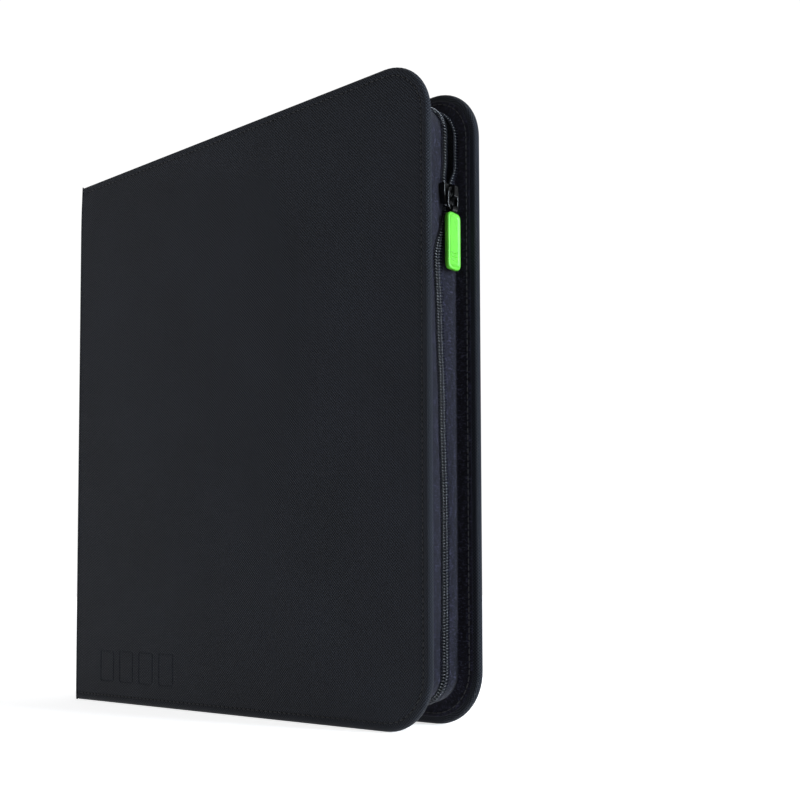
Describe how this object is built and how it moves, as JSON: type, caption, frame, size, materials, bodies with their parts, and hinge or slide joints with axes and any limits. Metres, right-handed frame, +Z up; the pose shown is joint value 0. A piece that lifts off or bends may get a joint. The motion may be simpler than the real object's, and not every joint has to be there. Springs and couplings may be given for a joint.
{
  "type": "zip-round trading card binder",
  "caption": "Zip-round binder for trading cards with padded covers, a sewn gusset with a coil zip, a lime pull tab, and pocket pages bound at a soft spine.",
  "frame": {"origin": "middle of the footprint, on the plane the binder stands on", "axes": "+X from the spine to the fore-edge, the front cover faces -Y, +Z up along the covers' height"},
  "size_m": [0.306, 0.047, 0.35],
  "materials": {
    "cover_fabric": "embossed weave, satin",
    "foam": "matt foam",
    "board": "raw grey board",
    "lining": "smooth matt",
    "zip_tape": "woven, matt",
    "zip_coil": "moulded nylon",
    "zip_metal": "black enamel",
    "tab_plastic": "soft satin",
    "page_plastic": "clear film over black sheet",
    "binding_plastic": "matt",
    "rivet_metal": "satin"
  },
  "bodies": {
    "spine": {"spine_skin": "cover_fabric", "spine_board": "board", "spine_lining": "lining", "front_fold": "cover_fabric", "back_fold": "cover_fabric", "zip_end_tabs": "zip_tape", "page_margins": "page_plastic", "binding_spacers": "binding_plastic", "binding_channel": "binding_plastic", "binding_rivets": "rivet_metal"},
    "front_cover": {"front_cover_skin": "cover_fabric", "front_foam_pad": "foam", "front_cover_board": "board", "front_lining": "lining", "front_zip_tape": "zip_tape", "front_coil": "zip_coil", "front_top_stop": "zip_metal"},
    "back_cover": {"back_cover_skin": "cover_fabric", "back_foam_pad": "foam", "back_cover_board": "board", "back_lining": "lining", "back_zip_tape": "zip_tape", "back_coil": "zip_coil", "back_top_stop": "zip_metal", "zip_bottom_stop": "zip_metal"},
    "slider": {"slider_body": "zip_metal", "slider_crown": "zip_metal"},
    "ring": {"pull_ring": "zip_metal"},
    "tab": {"pull_eyelet": "zip_metal", "pull_tab": "tab_plastic"},
    "page_leaf_01": {"page_01": "page_plastic"},
    "page_leaf_02": {"page_02": "page_plastic"},
    "page_leaf_03": {"page_03": "page_plastic"},
    "page_leaf_04": {"page_04": "page_plastic"},
    "page_leaf_05": {"page_05": "page_plastic"},
    "page_leaf_06": {"page_06": "page_plastic"},
    "page_leaf_07": {"page_07": "page_plastic"},
    "page_leaf_08": {"page_08": "page_plastic"},
    "page_leaf_09": {"page_09": "page_plastic"},
    "page_leaf_10": {"page_10": "page_plastic"},
    "page_leaf_11": {"page_11": "page_plastic"},
    "page_leaf_12": {"page_12": "page_plastic"},
    "page_leaf_13": {"page_13": "page_plastic"},
    "page_leaf_14": {"page_14": "page_plastic"},
    "page_leaf_15": {"page_15": "page_plastic"},
    "page_leaf_16": {"page_16": "page_plastic"},
    "page_leaf_17": {"page_17": "page_plastic"},
    "page_leaf_18": {"page_18": "page_plastic"},
    "page_leaf_19": {"page_19": "page_plastic"},
    "page_leaf_20": {"page_20": "page_plastic"}
  },
  "joints": [
    {"name": "front_cover_hinge", "type": "hinge", "parent": "spine", "child": "front_cover", "pos_m": [-0.1515, -0.022, 0.175], "axis": [0, 0, -1], "range_deg": [0, 90], "deforming": ["front_fold", "front_coil"]},
    {"name": "back_cover_hinge", "type": "hinge", "parent": "spine", "child": "back_cover", "pos_m": [-0.1515, 0.022, 0.175], "axis": [0, 0, 1], "range_deg": [0, 90], "deforming": ["back_fold", "back_coil"]},
    {"name": "slider_slide", "type": "slide", "parent": "back_cover", "child": "slider", "axis": [0, 0.0142, 0.9999], "range_m": [-0.247, 0.028]},
    {"name": "pull_ring_swing", "type": "hinge", "parent": "slider", "child": "ring", "pos_m": [0.14515, 0.0085, 0.2886], "axis": [0, -1, 0], "range_deg": [0, 150]},
    {"name": "pull_tab_swing", "type": "hinge", "parent": "ring", "child": "tab", "pos_m": [0.14477, 0.0085, 0.27771], "axis": [0, -1, 0], "range_deg": [0, 110]},
    {"name": "page_01_turn", "type": "hinge", "parent": "spine", "child": "page_leaf_01", "pos_m": [-0.1421, -0.0152, 0.175], "axis": [0, 0, -1], "range_deg": [0, 90]},
    {"name": "page_02_turn", "type": "hinge", "parent": "spine", "child": "page_leaf_02", "pos_m": [-0.1412, -0.0136, 0.175], "axis": [0, 0, -1], "range_deg": [0, 88.38]},
    {"name": "page_03_turn", "type": "hinge", "parent": "spine", "child": "page_leaf_03", "pos_m": [-0.1403, -0.012, 0.175], "axis": [0, 0, -1], "range_deg": [0, 86.76]},
    {"name": "page_04_turn", "type": "hinge", "parent": "spine", "child": "page_leaf_04", "pos_m": [-0.1394, -0.0104, 0.175], "axis": [0, 0, -1], "range_deg": [0, 85.14]},
    {"name": "page_05_turn", "type": "hinge", "parent": "spine", "child": "page_leaf_05", "pos_m": [-0.1385, -0.0088, 0.175], "axis": [0, 0, -1], "range_deg": [0, 83.52]},
    {"name": "page_06_turn", "type": "hinge", "parent": "spine", "child": "page_leaf_06", "pos_m": [-0.1376, -0.0072, 0.175], "axis": [0, 0, -1], "range_deg": [0, 81.9]},
    {"name": "page_07_turn", "type": "hinge", "parent": "spine", "child": "page_leaf_07", "pos_m": [-0.1367, -0.0056, 0.175], "axis": [0, 0, -1], "range_deg": [0, 80.28]},
    {"name": "page_08_turn", "type": "hinge", "parent": "spine", "child": "page_leaf_08", "pos_m": [-0.1358, -0.004, 0.175], "axis": [0, 0, -1], "range_deg": [0, 78.66]},
    {"name": "page_09_turn", "type": "hinge", "parent": "spine", "child": "page_leaf_09", "pos_m": [-0.1349, -0.0024, 0.175], "axis": [0, 0, -1], "range_deg": [0, 77.04]},
    {"name": "page_10_turn", "type": "hinge", "parent": "spine", "child": "page_leaf_10", "pos_m": [-0.134, -0.0008, 0.175], "axis": [0, 0, -1], "range_deg": [0, 75.42]},
    {"name": "page_11_turn", "type": "hinge", "parent": "spine", "child": "page_leaf_11", "pos_m": [-0.134, 0.0008, 0.175], "axis": [0, 0, 1], "range_deg": [0, 75.42]},
    {"name": "page_12_turn", "type": "hinge", "parent": "spine", "child": "page_leaf_12", "pos_m": [-0.1349, 0.0024, 0.175], "axis": [0, 0, 1], "range_deg": [0, 77.04]},
    {"name": "page_13_turn", "type": "hinge", "parent": "spine", "child": "page_leaf_13", "pos_m": [-0.1358, 0.004, 0.175], "axis": [0, 0, 1], "range_deg": [0, 78.66]},
    {"name": "page_14_turn", "type": "hinge", "parent": "spine", "child": "page_leaf_14", "pos_m": [-0.1367, 0.0056, 0.175], "axis": [0, 0, 1], "range_deg": [0, 80.28]},
    {"name": "page_15_turn", "type": "hinge", "parent": "spine", "child": "page_leaf_15", "pos_m": [-0.1376, 0.0072, 0.175], "axis": [0, 0, 1], "range_deg": [0, 81.9]},
    {"name": "page_16_turn", "type": "hinge", "parent": "spine", "child": "page_leaf_16", "pos_m": [-0.1385, 0.0088, 0.175], "axis": [0, 0, 1], "range_deg": [0, 83.52]},
    {"name": "page_17_turn", "type": "hinge", "parent": "spine", "child": "page_leaf_17", "pos_m": [-0.1394, 0.0104, 0.175], "axis": [0, 0, 1], "range_deg": [0, 85.14]},
    {"name": "page_18_turn", "type": "hinge", "parent": "spine", "child": "page_leaf_18", "pos_m": [-0.1403, 0.012, 0.175], "axis": [0, 0, 1], "range_deg": [0, 86.76]},
    {"name": "page_19_turn", "type": "hinge", "parent": "spine", "child": "page_leaf_19", "pos_m": [-0.1412, 0.0136, 0.175], "axis": [0, 0, 1], "range_deg": [0, 88.38]},
    {"name": "page_20_turn", "type": "hinge", "parent": "spine", "child": "page_leaf_20", "pos_m": [-0.1421, 0.0152, 0.175], "axis": [0, 0, 1], "range_deg": [0, 90]}
  ],
  "couplings": [
    {"joint": "page_01_turn", "follows": "front_cover_hinge", "ratio": 1},
    {"joint": "page_02_turn", "follows": "front_cover_hinge", "ratio": 0.982},
    {"joint": "page_03_turn", "follows": "front_cover_hinge", "ratio": 0.964},
    {"joint": "page_04_turn", "follows": "front_cover_hinge", "ratio": 0.946},
    {"joint": "page_05_turn", "follows": "front_cover_hinge", "ratio": 0.928},
    {"joint": "page_06_turn", "follows": "front_cover_hinge", "ratio": 0.91},
    {"joint": "page_07_turn", "follows": "front_cover_hinge", "ratio": 0.892},
    {"joint": "page_08_turn", "follows": "front_cover_hinge", "ratio": 0.874},
    {"joint": "page_09_turn", "follows": "front_cover_hinge", "ratio": 0.856},
    {"joint": "page_10_turn", "follows": "front_cover_hinge", "ratio": 0.838},
    {"joint": "page_11_turn", "follows": "back_cover_hinge", "ratio": 0.838},
    {"joint": "page_12_turn", "follows": "back_cover_hinge", "ratio": 0.856},
    {"joint": "page_13_turn", "follows": "back_cover_hinge", "ratio": 0.874},
    {"joint": "page_14_turn", "follows": "back_cover_hinge", "ratio": 0.892},
    {"joint": "page_15_turn", "follows": "back_cover_hinge", "ratio": 0.91},
    {"joint": "page_16_turn", "follows": "back_cover_hinge", "ratio": 0.928},
    {"joint": "page_17_turn", "follows": "back_cover_hinge", "ratio": 0.946},
    {"joint": "page_18_turn", "follows": "back_cover_hinge", "ratio": 0.964},
    {"joint": "page_19_turn", "follows": "back_cover_hinge", "ratio": 0.982},
    {"joint": "page_20_turn", "follows": "back_cover_hinge", "ratio": 1}
  ]
}
